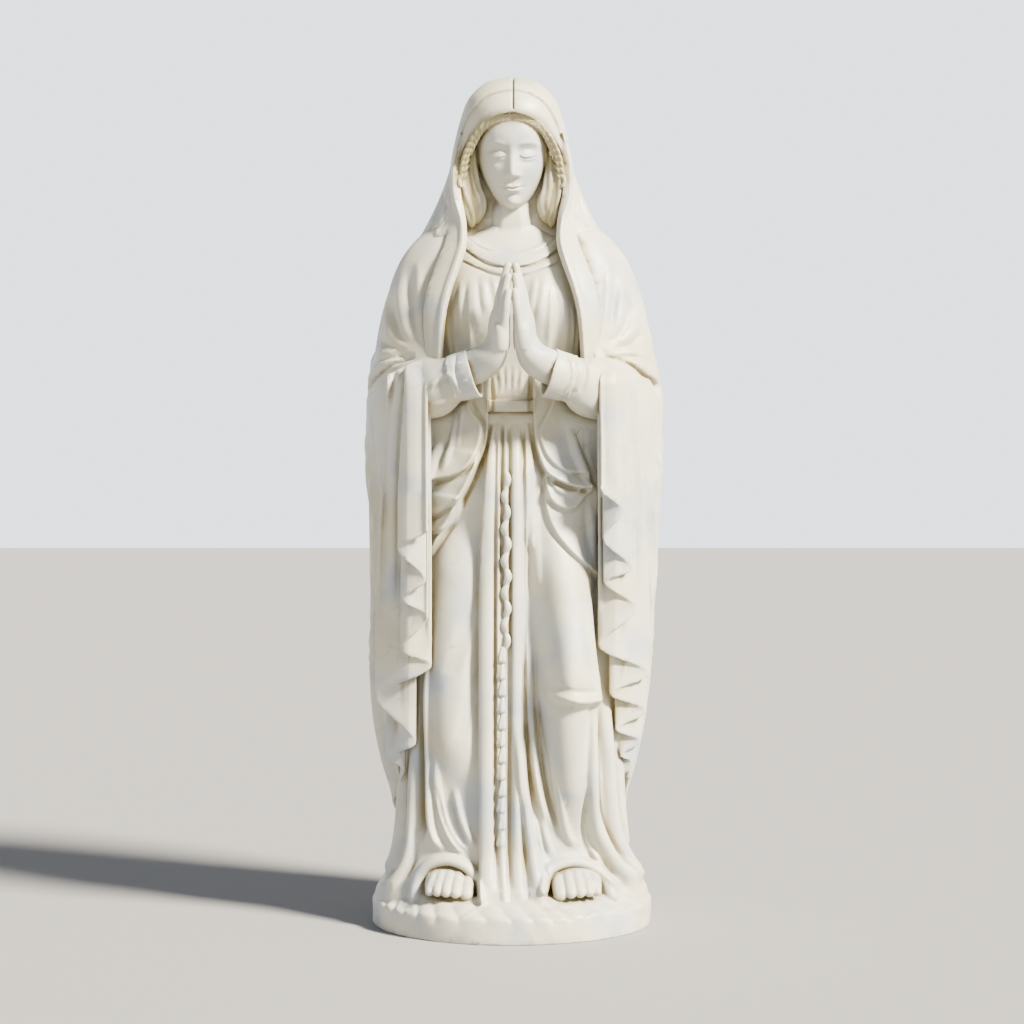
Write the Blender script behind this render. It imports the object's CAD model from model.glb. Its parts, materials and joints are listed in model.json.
"""The looks of a praying madonna carved, with its low oval base, from one block of white marble."""

import json
import math

import bpy
import numpy as np
from mathutils.bvhtree import BVHTree
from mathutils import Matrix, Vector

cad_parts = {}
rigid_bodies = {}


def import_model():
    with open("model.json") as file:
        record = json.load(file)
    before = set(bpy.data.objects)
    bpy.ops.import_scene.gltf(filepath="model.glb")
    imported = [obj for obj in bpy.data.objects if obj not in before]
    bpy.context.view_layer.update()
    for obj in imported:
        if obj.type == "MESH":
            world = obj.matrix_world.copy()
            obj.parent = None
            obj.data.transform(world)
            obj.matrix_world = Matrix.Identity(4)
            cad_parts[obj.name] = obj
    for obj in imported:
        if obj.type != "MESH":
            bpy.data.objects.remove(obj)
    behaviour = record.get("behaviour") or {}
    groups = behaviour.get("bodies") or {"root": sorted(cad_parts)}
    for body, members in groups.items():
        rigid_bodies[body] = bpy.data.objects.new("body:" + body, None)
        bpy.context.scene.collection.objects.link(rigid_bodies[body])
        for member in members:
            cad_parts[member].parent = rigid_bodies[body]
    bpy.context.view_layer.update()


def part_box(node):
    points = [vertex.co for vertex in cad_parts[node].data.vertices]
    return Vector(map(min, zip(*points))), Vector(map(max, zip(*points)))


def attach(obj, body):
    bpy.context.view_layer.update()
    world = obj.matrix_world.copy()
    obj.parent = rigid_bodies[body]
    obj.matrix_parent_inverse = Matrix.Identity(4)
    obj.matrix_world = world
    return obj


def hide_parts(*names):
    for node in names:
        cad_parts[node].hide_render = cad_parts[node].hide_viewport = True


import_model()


# ---------------------------------------------------------------- base
# The foot of the block: a low oval with a plain, slightly worn rim. Its top is dressed with curling grooves
# that run out from under the hems like ripples and break the upper edge into slanting leaves.

BODY_GRAIN = 0.0026
BASE_HALF_WIDTH = 0.277
BASE_HALF_DEPTH = 0.2545
BASE_RIM = 0.055
RIPPLE_DEPTH = 0.0054
LEAVES_ROUND = 39


def let_go():
    for chosen in bpy.context.selected_objects:
        chosen.select_set(False)


def smooth(edge_low, edge_high, value):
    """0 below the first edge, 1 above the second, and an easy slope between."""
    part = np.clip((value - edge_low) / (edge_high - edge_low), 0, 1)
    return part * part * (3 - 2 * part)


def coordinates(form):
    flat = np.empty(3 * len(form.data.vertices))
    form.data.vertices.foreach_get("co", flat)
    return flat.reshape(-1, 3)


def move_points(form, places):
    form.data.vertices.foreach_set("co", np.ascontiguousarray(places, float).ravel())
    form.data.update()


def finish_with(form, kind, **settings):
    """Puts one modifier on a form and applies it."""
    let_go()
    form.select_set(True)
    bpy.context.view_layer.objects.active = form
    modifier = form.modifiers.new(kind.lower(), kind)
    for setting, value in settings.items():
        setattr(modifier, setting, value)
    bpy.ops.object.modifier_apply(modifier=modifier.name)


def grid(name, across, along, place):
    """A grid of points moved to place(u, v), with u and v running from 0 to 1 over it."""
    let_go()
    bpy.ops.mesh.primitive_grid_add(x_subdivisions=across, y_subdivisions=along, size=1)
    form = bpy.context.object
    form.name = name
    flat = coordinates(form) + 0.5
    move_points(form, place(flat[:, 0], flat[:, 1]))
    return form


def lump(name, around, along, place):
    """A closed form: a grid rolled up so that u goes round, with its first and last rows drawn to a point."""

    def rolled(u, v):
        places = place(u % 1, v)
        for end in (v < 0.5 / along, v > 1 - 0.5 / along):
            places[end] = places[end].mean(axis=0)
        return places

    return grid(name, around, along, rolled)


def points(*axes):
    """Coordinates side by side, as rows of points."""
    return np.stack(np.broadcast_arrays(*axes), axis=-1).astype(float)


def base():
    """A low slab, followed up its rim, over the edge and in across the top to the middle."""

    def place(u, v):
        turn = 2 * math.pi * u
        reach = np.interp(v, [0, 0.17, 0.20, 0.23, 0.26, 1], [0.994, 1, 0.997, 0.988, 0.970, 0])
        z = np.interp(
            v, [0, 0.17, 0.20, 0.23, 0.26, 0.32, 0.39, 1],
            [0, 0.044, 0.0495, 0.0530, BASE_RIM, 0.070, 0.0820, 0.090],
        )
        ahead = smooth(0.02, -0.12, BASE_HALF_DEPTH * reach * np.sin(turn))
        top = smooth(0.15, 0.21, v)
        # Leaves break the front of the upper edge
        sweep = LEAVES_ROUND * turn + 30 * (1 - reach) + 1.6 * np.sin(5 * turn)
        leaf = np.abs(np.sin(sweep / 2)) ** 0.55
        z -= RIPPLE_DEPTH * (1 - leaf) * ahead * top * smooth(0.80, 0.93, reach)
        reach -= 0.015 * (1 - leaf) * ahead * smooth(0.10, 0.19, v) * smooth(0.30, 0.24, v)
        # Ripples run inwards from them, and a ring lies round each foot
        ring = 0.5 + 0.5 * np.sin(52 * reach + 4.5 * np.sin(2.5 * turn))
        z -= 0.0034 * ahead * top * smooth(0.95, 0.86, reach) * ring**2
        x, y = BASE_HALF_WIDTH * reach * np.cos(turn), BASE_HALF_DEPTH * reach * np.sin(turn)
        for foot_x in (-0.120, 0.128):
            away = np.hypot(x - foot_x, 1.2 * (y + 0.165))
            z -= (
                0.0030 * np.exp(-((away - 0.078) / 0.006) ** 2) * top
                + 0.0025 * np.exp(-((away - 0.096) / 0.006) ** 2) * top
            )
        wear = 1 - 0.004 * (np.sin(7 * turn + 1) * np.sin(13 * turn) * np.sin(90 * z + 4 * np.sin(5 * turn)))
        return points(x * wear, y * wear, np.clip(z, 0, None))

    return lump("base_block", 700, 260, place)


# ---------------------------------------------------------------- feet
# Two bare feet that show as far as the instep under the gathered hem, cut as one rounded form each, with long
# grooves between the toes and a small nail on each.


def spline(given, count):
    """Points read at even steps from a smooth curve through the given ones."""
    given = np.asarray(given, float)
    ends = np.vstack([2 * given[0] - given[1], given, 2 * given[-1] - given[-2]])
    step = np.linspace(0, len(given) - 1, count)
    start = np.minimum(step.astype(int), len(given) - 2)
    part = (step - start)[:, None]
    a, b, c, d = (ends[start + k] for k in range(4))
    return 0.5 * (
        2 * b + (c - a) * part + (2 * a - 5 * b + 4 * c - d) * part**2 + (3 * b - a - 3 * c + d) * part**3
    )


def limb(name, path, widths, heights, up=(0, 0, 1), round_ends=True, bulge=None, grain=0.0012):
    """A round or oval form along a path, as wide and high as the widths and heights along it."""
    line = spline(path, 80)
    share = np.linspace(0, 1, len(line))
    wide = spline(np.column_stack([np.linspace(0, 1, len(widths)), widths]), 80)[:, 1]
    high = spline(np.column_stack([np.linspace(0, 1, len(heights)), heights]), 80)[:, 1]
    length = np.linalg.norm(np.diff(line, axis=0), axis=1).sum()
    tangent = np.gradient(line, axis=0)
    tangent /= np.linalg.norm(tangent, axis=1)[:, None]
    across = np.cross(np.asarray(up, float), tangent)
    across /= np.linalg.norm(across, axis=1)[:, None]
    above = np.cross(tangent, across)

    def at(values, v):
        return np.stack([np.interp(v, share, values[:, k]) for k in range(3)], axis=-1)

    def place(u, v):
        turn = 2 * math.pi * u
        if round_ends:
            v = 0.5 - 0.5 * np.cos(math.pi * v)
        w, h = np.interp(v, share, wide), np.interp(v, share, high)
        if round_ends:
            cap = np.minimum(w, h).max() / length
            close = np.sqrt(np.clip(1 - (1 - np.clip(np.minimum(v, 1 - v) / cap, 0, 1)) ** 2, 1e-5, 1))
            w, h = w * close, h * close
        if bulge:
            swell = bulge(turn, v)
            w, h = w + swell, h + swell
        return (
            at(line, v) + at(across, v) * (w * np.cos(turn))[:, None]
            + at(above, v) * (h * np.sin(turn))[:, None]
        )

    around = max(16, int(2 * math.pi * max(wide.max(), high.max()) / grain))
    return lump(name, around, max(16, int(1.2 * length / grain)), place)


def foot(side, sign, x, y):
    """An instep and five toes, the big one innermost, with sign -1 for her right foot and 1 for her left."""
    instep = limb(
        f"instep_{side}",
        [
            (x - 0.006 * sign, y + 0.08, 0.128), (x - 0.003 * sign, y + 0.03, 0.116), (x, y - 0.012, 0.1005),
            (x, y - 0.042, 0.0880),
        ],
        [0.041, 0.0460, 0.0465, 0.042], [0.031, 0.0270, 0.0205, 0.0125],
    )
    forms = [instep]
    for k in range(5):
        across = (0.0350, 0.0150, -0.0030, -0.0200, -0.0355)[k] * sign
        reach = (0.058, 0.060, 0.056, 0.049, 0.039)[k]
        size = (0.0138, 0.0112, 0.0108, 0.0102, 0.0094)[k]
        drop = 0.0085 * (across / 0.036) ** 2
        toe = [
            (x - 0.84 * across - 0.009 * sign, y + 0.034, 0.1446 - drop - size),
            (x - 0.94 * across - 0.004 * sign, y - 0.012, 0.1252 - 0.8 * drop - size),
            (x - across, y - 0.62 * reach, 0.1105 - 0.5 * drop - size),
            (x - across + 0.002 * sign, y - reach + 0.002, 0.0952 - 0.3 * drop - size),
        ]
        forms.append(limb(
            f"toe_{side}_{k}", toe, [0.85 * size, size, size, 0.86 * size],
            [0.85 * size, size, 0.95 * size, 0.80 * size],
        ))
        tip = np.array(toe[3])
        forms.append(limb(
            f"nail_{side}_{k}", [tip + (0, 0.010, size - 0.0010), tip + (0, 0.0015, size - 0.0060)],
            [0.0056, 0.0050],
            [0.0018, 0.0018], up=(0, -0.6, 1),
        ))
    return forms


# ---------------------------------------------------------------- gown
# A long belted gown. Its skirt is gathered into a pleated panel in front of the body, and over its hips lies
# a short open coat whose edges turn back and hang in swags. The left leg is bent, and its knee and shin press
# through the cloth.

BELT_Z = 1.035
BELT_HALF_HEIGHT = 0.0132


def profile(*pairs):
    """A smooth function of one number through (number, value) pairs."""
    curve = spline(sorted(pairs), 12 * len(pairs))
    return lambda at: np.interp(at, curve[:, 0], curve[:, 1])


def near_path(x, z, path):
    """How far each (x, z) lies from a path, positive on its left, and how far along the path."""
    line = spline(path, 4 * len(path) + 5)
    nearest = np.full(x.shape, 1e9)
    along = np.zeros(x.shape)
    side = np.ones(x.shape)
    for k in range(len(line) - 1):
        start, run = line[k], line[k + 1] - line[k]
        part = np.clip(((x - start[0]) * run[0] + (z - start[1]) * run[1]) / (run @ run), 0, 1)
        off_x, off_z = x - start[0] - part * run[0], z - start[1] - part * run[1]
        gap = off_x**2 + off_z**2
        closer = gap < nearest
        nearest = np.where(closer, gap, nearest)
        along = np.where(closer, (k + part) / (len(line) - 1), along)
        side = np.where(closer, np.where(run[0] * off_z - run[1] * off_x >= 0, 1.0, -1.0), side)
    return np.sqrt(nearest) * side, along


def beside(x, z, path, margin, height_of):
    """height_of(gap, along) for the points within a margin of the path, and 0 elsewhere."""
    line = spline(path, 4 * len(path) + 5)
    low, high = line.min(0) - margin, line.max(0) + margin
    close = (x > low[0]) & (x < high[0]) & (z > low[1]) & (z < high[1])
    rise = np.zeros(x.shape)
    if close.any():
        rise[close] = height_of(*near_path(x[close], z[close], path))
    return rise


def faded(along, ends):
    return smooth(0, ends, along) * smooth(0, ends, 1 - along) if ends else 1.0


def fold(x, z, path, width, height, ends=0.12, round_top=1.0):
    """A ridge (or, with a negative height, a groove) along a path. It fades out over both ends."""

    def height_of(gap, along):
        return height * np.clip(1 - (gap / width) ** 2, 0, None) ** round_top * faded(along, ends)

    return beside(x, z, path, width + 0.001, height_of)


def lap(x, z, path, height, run, edge=0.0016, ends=0.06, bead=0.0016):
    """Cloth over cloth: raised on the left of the path with a rolled hem, and sinking back over a run."""

    def height_of(gap, along):
        step = smooth(-edge, edge, gap)
        hem = bead * np.exp(-((gap - 0.004) / 0.0028) ** 2)
        under = 0.35 * height * np.exp(-((gap + 0.004) / 0.0045) ** 2) * (1 - step)
        return (
            height * step * np.exp(-np.clip(gap, 0, None) / run) + hem * step - under
        ) * faded(along, ends)

    return beside(x, z, path, 3.5 * run, height_of)


def oval(turn, half_width, front, back, squareness=2.3):
    """A body's section: turn 0 is its front, a quarter turn its left. Returns x and y."""
    s, c = np.sin(turn), np.cos(turn)
    reach = (np.abs(s) ** squareness + np.abs(c) ** squareness) ** (-1 / squareness)
    return half_width * reach * s, -np.where(c > 0, front, back) * reach * c


def raised(section, turn, z, rise):
    """Points of a section moved out along its own normal."""
    x, y = section(turn, z)
    ahead, behind = section(turn + 1e-3, z), section(turn - 1e-3, z)
    nx, ny = ahead[1] - behind[1], -(ahead[0] - behind[0])
    size = np.hypot(nx, ny) + 1e-12
    return points(x + rise * nx / size, y + rise * ny / size, z)


def body_form(name, low, high, section, relief, crowd=0.0, grain=BODY_GRAIN):
    """A draped form round the axis, with relief(x, z, turn) on it. A crowd draws points to its front."""

    def place(u, v):
        z = low + (high - low) * v
        w = 2 * u - 1
        turn = math.pi * (w * (1 - crowd) + crowd * w**3)
        return raised(section, turn, z, relief(section(turn, z)[0], z, turn))

    return lump(name, int(1.45 / grain), int((high - low) / grain), place)


GOWN_HALF_WIDTH = profile(
    (0.03, 0.270), (0.065, 0.270), (0.10, 0.250), (0.16, 0.230), (0.25, 0.218), (0.45, 0.210), (0.65, 0.200),
    (0.85, 0.188), (0.95, 0.172), (1.04, 0.155), (1.15, 0.162), (1.25, 0.172), (1.32, 0.160), (1.36, 0.112),
    (1.40, 0.054),
)
GOWN_FRONT = profile(
    (0.03, 0.163), (0.07, 0.163), (0.11, 0.152), (0.20, 0.143), (0.45, 0.134), (0.70, 0.126), (0.90, 0.120),
    (1.04, 0.108), (1.13, 0.120), (1.22, 0.131), (1.29, 0.119), (1.34, 0.091), (1.37, 0.062), (1.40, 0.044),
)
GOWN_BACK = profile(
    (0.03, 0.21), (0.07, 0.21), (0.26, 0.175), (0.34, 0.14), (0.42, 0.06), (0.6, 0.04), (1.1, 0.04),
    (1.3, 0.05), (1.40, 0.05)
)

PANEL_HEIGHT = 0.016
PANEL_SPREAD = 0.036
PANEL_EDGE = [
    (-0.036, 1.020), (-0.046, 0.930), (-0.056, 0.820), (-0.061, 0.700), (-0.063, 0.550), (-0.063, 0.300),
    (-0.062, 0.150), (-0.055, 0.050),
]
# Each row: path of (x, z) points, width, height
PANEL_FOLDS = [
    ([(-0.030, 1.015), (-0.040, 0.90), (-0.047, 0.75), (-0.048, 0.50), (-0.047, 0.25), (-0.043, 0.08)],
     0.016, 0.0085),
    ([(0.006, 1.015), (0.006, 0.80), (0.007, 0.55), (0.010, 0.30), (0.012, 0.07)], 0.0125, 0.0085),
    ([(-0.0245, 1.015), (-0.0255, 0.80), (-0.026, 0.55), (-0.026, 0.30)], 0.0042, 0.0045),
    ([(0.030, 1.010), (0.035, 0.90), (0.036, 0.75)], 0.0085, 0.0060),
    ([(-0.012, 1.015), (-0.011, 0.92), (-0.011, 0.86)], 0.0065, 0.0055),
]
PANEL_GROOVES = [
    ([(-0.0290, 1.015), (-0.0315, 0.80), (-0.0325, 0.50), (-0.0320, 0.25), (-0.030, 0.09)], 0.0044, -0.0056),
    ([(-0.0185, 1.015), (-0.0190, 0.80), (-0.0200, 0.70)], 0.0040, -0.0040),
    ([(-0.0045, 1.015), (-0.0035, 0.80), (-0.0030, 0.55), (-0.0050, 0.25), (-0.006, 0.09)], 0.0046, -0.0058),
    ([(0.0215, 1.015), (0.0225, 0.80), (0.0240, 0.55), (0.0280, 0.36), (0.042, 0.22), (0.056, 0.15),
      (0.072, 0.10)], 0.0052, -0.0090),
]
RIGHT_LEG_FOLDS = [
    ([(-0.100, 0.82), (-0.114, 0.64), (-0.116, 0.45), (-0.108, 0.26)], 0.052, 0.022),
    ([(-0.075, 0.66), (-0.098, 0.56), (-0.118, 0.50)], 0.016, -0.0040),
    ([(-0.070, 0.56), (-0.080, 0.46), (-0.100, 0.37)], 0.014, -0.0035),
    ([(-0.160, 0.62), (-0.163, 0.42), (-0.160, 0.26), (-0.152, 0.19), (-0.128, 0.158)], 0.0085, 0.0120),
    ([(-0.170, 0.60), (-0.172, 0.40), (-0.171, 0.24), (-0.176, 0.17)], 0.0075, -0.0140),
    ([(-0.150, 0.36), (-0.140, 0.26), (-0.120, 0.195), (-0.086, 0.152)], 0.0095, 0.0100),
    ([(-0.146, 0.30), (-0.131, 0.225), (-0.108, 0.180), (-0.080, 0.152)], 0.0045, -0.0055),
    ([(-0.112, 0.29), (-0.097, 0.225), (-0.070, 0.165)], 0.0090, 0.0080),
    ([(-0.118, 0.275), (-0.104, 0.215), (-0.084, 0.175)], 0.0035, -0.0040),
    ([(-0.188, 0.46), (-0.189, 0.26), (-0.196, 0.16), (-0.222, 0.105), (-0.250, 0.075)], 0.0120, 0.0160),
    ([(-0.200, 0.40), (-0.200, 0.22), (-0.209, 0.140), (-0.242, 0.094), (-0.266, 0.076)], 0.0050, -0.0110),
    ([(-0.214, 0.36), (-0.216, 0.22), (-0.228, 0.140), (-0.256, 0.096)], 0.0110, 0.0130),
    ([(-0.180, 0.22), (-0.190, 0.140), (-0.214, 0.092)], 0.0045, -0.0060),
]
TRAIN_FOLDS = [
    ([(0.013, 0.42), (0.024, 0.28), (0.038, 0.17), (0.060, 0.03)], 0.012, 0.0095),
    ([(-0.022, 0.30), (-0.019, 0.18), (-0.010, 0.03)], 0.0085, 0.0070),
    ([(0.014, 0.30), (0.022, 0.18), (0.034, 0.03)], 0.0060, -0.0065),
]
LEFT_LEG_FOLDS = [
    ([(0.032, 0.62), (0.034, 0.50), (0.040, 0.38), (0.056, 0.27), (0.084, 0.19)], 0.0105, 0.0130),
    ([(0.044, 0.46), (0.054, 0.35), (0.072, 0.25), (0.100, 0.18)], 0.0060, -0.0040),
    ([(0.038, 0.36), (0.050, 0.27), (0.066, 0.19), (0.082, 0.145)], 0.0080, 0.0070),
    ([(0.062, 0.40), (0.078, 0.29), (0.104, 0.20), (0.130, 0.165)], 0.0100, 0.0080),
    ([(0.038, 0.86), (0.044, 0.76), (0.046, 0.66)], 0.0120, 0.0060),
    ([(0.034, 0.94), (0.028, 0.84), (0.026, 0.76)], 0.0100, 0.0060),
    ([(0.152, 0.60), (0.150, 0.42), (0.147, 0.30), (0.157, 0.22), (0.184, 0.155), (0.222, 0.108),
      (0.262, 0.076)], 0.0170, 0.0240),
    ([(0.168, 0.48), (0.166, 0.32), (0.176, 0.215), (0.208, 0.140), (0.250, 0.088)], 0.0055, -0.0120),
    ([(0.182, 0.52), (0.187, 0.32), (0.198, 0.200), (0.232, 0.125), (0.268, 0.082)], 0.0125, 0.0170),
    ([(0.201, 0.40), (0.206, 0.24), (0.228, 0.150), (0.262, 0.100)], 0.0050, -0.0100),
    ([(0.214, 0.38), (0.220, 0.22), (0.246, 0.135)], 0.0105, 0.0100),
    ([(0.130, 0.30), (0.136, 0.20), (0.158, 0.140), (0.200, 0.092)], 0.0055, -0.0070),
    ([(0.150, 0.170), (0.176, 0.120), (0.215, 0.082)], 0.0100, 0.0090),
]
# The raised hem that goes over each foot
FOOT_ARCHES = [
    [(-0.186, 0.072), (-0.180, 0.105), (-0.160, 0.132), (-0.122, 0.145), (-0.088, 0.134), (-0.068, 0.108),
     (-0.060, 0.080)],
    [(0.060, 0.100), (0.076, 0.130), (0.112, 0.142), (0.148, 0.134), (0.176, 0.108), (0.192, 0.074)],
]
# Each row: path of (x, z) points, height of the cloth that lies above or outside it
COAT_HEMS = [
    ([(-0.043, 1.12), (-0.043, 1.040), (-0.045, 0.99), (-0.053, 0.945), (-0.075, 0.895), (-0.099, 0.841),
      (-0.128, 0.784), (-0.158, 0.730)], 0.0150),
    ([(-0.082, 1.050), (-0.074, 1.027), (-0.061, 1.008), (-0.055, 0.990), (-0.059, 0.960), (-0.073, 0.925),
      (-0.094, 0.903), (-0.125, 0.892), (-0.168, 0.880)], 0.0120),
    ([(-0.060, 0.950), (-0.068, 0.905), (-0.085, 0.868), (-0.104, 0.845), (-0.135, 0.822), (-0.168, 0.806)],
     0.0100),
    ([(-0.092, 0.860), (-0.098, 0.826), (-0.112, 0.803), (-0.134, 0.786), (-0.166, 0.774)], 0.0070),
    ([(0.041, 1.12), (0.040, 1.030), (0.043, 0.975), (0.050, 0.940), (0.062, 0.908), (0.085, 0.888),
      (0.113, 0.876), (0.146, 0.872)], 0.0170),
    ([(0.080, 1.060), (0.074, 1.040), (0.064, 1.018), (0.053, 0.996), (0.052, 0.974), (0.063, 0.940),
      (0.085, 0.914), (0.106, 0.905), (0.142, 0.900)], 0.0065),
    ([(0.062, 0.915), (0.066, 0.866), (0.077, 0.845), (0.097, 0.833), (0.118, 0.836), (0.133, 0.854),
      (0.150, 0.878)], 0.0105),
    ([(0.070, 0.895), (0.080, 0.872), (0.098, 0.860), (0.118, 0.864), (0.142, 0.880)], 0.0050),
    ([(0.062, 0.885), (0.064, 0.835), (0.077, 0.793), (0.097, 0.761), (0.119, 0.735), (0.142, 0.715),
      (0.168, 0.690)], 0.0085),
]
# Each row: path of (x, z) points, width, height
UNDER_ARM_FOLDS = [
    ([(-0.104, 1.040), (-0.112, 0.96), (-0.126, 0.900)], 0.0075, 0.0085),
    ([(-0.124, 1.035), (-0.138, 0.94), (-0.152, 0.880), (-0.170, 0.858)], 0.0110, 0.0140),
    ([(-0.150, 1.010), (-0.160, 0.93), (-0.172, 0.880)], 0.0085, 0.0085),
    ([(-0.092, 1.045), (-0.097, 0.99), (-0.104, 0.940)], 0.0050, 0.0045),
    ([(0.104, 1.040), (0.117, 0.96), (0.136, 0.890), (0.158, 0.840)], 0.0110, 0.0130),
    ([(0.126, 1.035), (0.138, 0.96), (0.154, 0.890), (0.168, 0.780)], 0.0090, 0.0110),
    ([(0.146, 1.015), (0.156, 0.94), (0.168, 0.860)], 0.0080, 0.0080),
    ([(0.150, 0.870), (0.153, 0.76), (0.152, 0.640)], 0.0120, 0.0120),
]
# The cloth is drawn smooth over the breast, so its folds are this much shallower there
SOFTNESS = 0.75
CHEST_FOLDS = [
    ([(-0.058, 1.300), (-0.052, 1.255), (-0.043, 1.205)], 0.0090, 0.0065),
    ([(-0.078, 1.302), (-0.074, 1.245), (-0.066, 1.185)], 0.0120, 0.0080),
    ([(-0.092, 1.295), (-0.098, 1.235), (-0.094, 1.150)], 0.0090, 0.0060),
    ([(-0.083, 1.270), (-0.080, 1.190), (-0.078, 1.120)], 0.0050, 0.0045),
    ([(-0.108, 1.255), (-0.110, 1.190), (-0.106, 1.110)], 0.0055, 0.0055),
    ([(-0.120, 1.240), (-0.122, 1.185), (-0.118, 1.110)], 0.0045, 0.0050),
    ([(-0.040, 1.300), (-0.030, 1.255), (-0.026, 1.215)], 0.0060, 0.0045),
    ([(0.048, 1.302), (0.040, 1.250), (0.032, 1.205)], 0.0080, 0.0060),
    ([(0.066, 1.302), (0.056, 1.245), (0.047, 1.185)], 0.0100, 0.0070),
    ([(0.084, 1.298), (0.098, 1.240), (0.102, 1.170), (0.096, 1.090)], 0.0120, 0.0080),
    ([(0.076, 1.290), (0.072, 1.210), (0.070, 1.120)], 0.0060, 0.0050),
    ([(0.112, 1.250), (0.117, 1.190), (0.113, 1.110)], 0.0055, 0.0055),
    ([(0.125, 1.230), (0.128, 1.180), (0.124, 1.110)], 0.0045, 0.0050),
]
WAIST_PLEATS = [
    ([(-0.050, 1.120), (-0.036, 1.085), (-0.031, 1.050)], 0.0054, 0.0045),
    ([(-0.026, 1.125), (-0.020, 1.085), (-0.021, 1.050)], 0.0054, 0.0045),
    ([(-0.008, 1.125), (-0.008, 1.085), (-0.010, 1.050)], 0.0048, 0.0040),
    ([(0.008, 1.125), (0.005, 1.085), (0.003, 1.050)], 0.0048, 0.0040),
    ([(0.024, 1.125), (0.018, 1.085), (0.016, 1.050)], 0.0054, 0.0045),
    ([(0.044, 1.120), (0.034, 1.085), (0.030, 1.050)], 0.0054, 0.0045),
]


def gown_section(turn, z):
    return oval(turn, GOWN_HALF_WIDTH(z), GOWN_FRONT(z), GOWN_BACK(z), 2.6)


def bent_leg(x, z):
    """The left thigh, knee and shin pressing through the cloth, which is caught at the knee."""
    gap, along = near_path(x, z, [(0.080, 0.90), (0.088, 0.74), (0.096, 0.60), (0.101, 0.47)])
    inner = 0.5 + 0.5 * np.cos(math.pi * np.clip(gap / 0.064, -1, 0))
    outer = np.clip(1 - (gap / 0.058) ** 2, 0, None) ** 0.65
    thigh = (
        (0.012 + 0.074 * smooth(0, 1, along) ** 0.9) * smooth(0, 0.4, along) * np.where(gap < 0, inner, outer)
    )
    thigh *= smooth(0.395, 0.455, z)
    gap, along = near_path(x, z, [(0.102, 0.50), (0.105, 0.42), (0.115, 0.32), (0.130, 0.16)])
    width = 0.052 - 0.018 * along
    round_side = np.clip(1 - (gap / np.where(gap < 0, 1.05 * width, width)) ** 2, 0, None) ** 0.65
    shin = (0.079 - 0.044 * along) * round_side * smooth(1.0, 0.72, along) * smooth(0.52, 0.44, z)
    caught = fold(x, z, [(0.058, 0.482), (0.085, 0.468), (0.120, 0.461), (0.153, 0.464)], 0.0085, 0.0085)
    crease = fold(x, z, [(0.070, 0.494), (0.100, 0.482), (0.140, 0.478)], 0.0070, -0.0040)
    return np.maximum(thigh, shin) + caught + crease


def neckline(x, z):
    """The broad band round the neck and the narrow yoke under it."""
    top = 1.339 + 0.035 * (x / 0.084) ** 2
    low = 1.309 + 0.036 * (x / 0.088) ** 2
    yoke = 1.291 + 0.028 * (np.abs(x) / 0.088) ** 1.6
    band = smooth(-0.0014, 0.0014, z - low) * smooth(-0.0014, 0.0014, top - z)
    lower = smooth(-0.0014, 0.0014, z - yoke) * smooth(-0.0014, 0.0014, top - z)
    lines = np.exp(-((z - low + 0.0015) / 0.0016) ** 2) + 0.7 * np.exp(-((z - yoke + 0.0010) / 0.0016) ** 2)
    return 0.0045 * band + 0.0035 * lower - 0.0025 * lines - 0.004 * smooth(0, 0.004, z - top)


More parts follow.
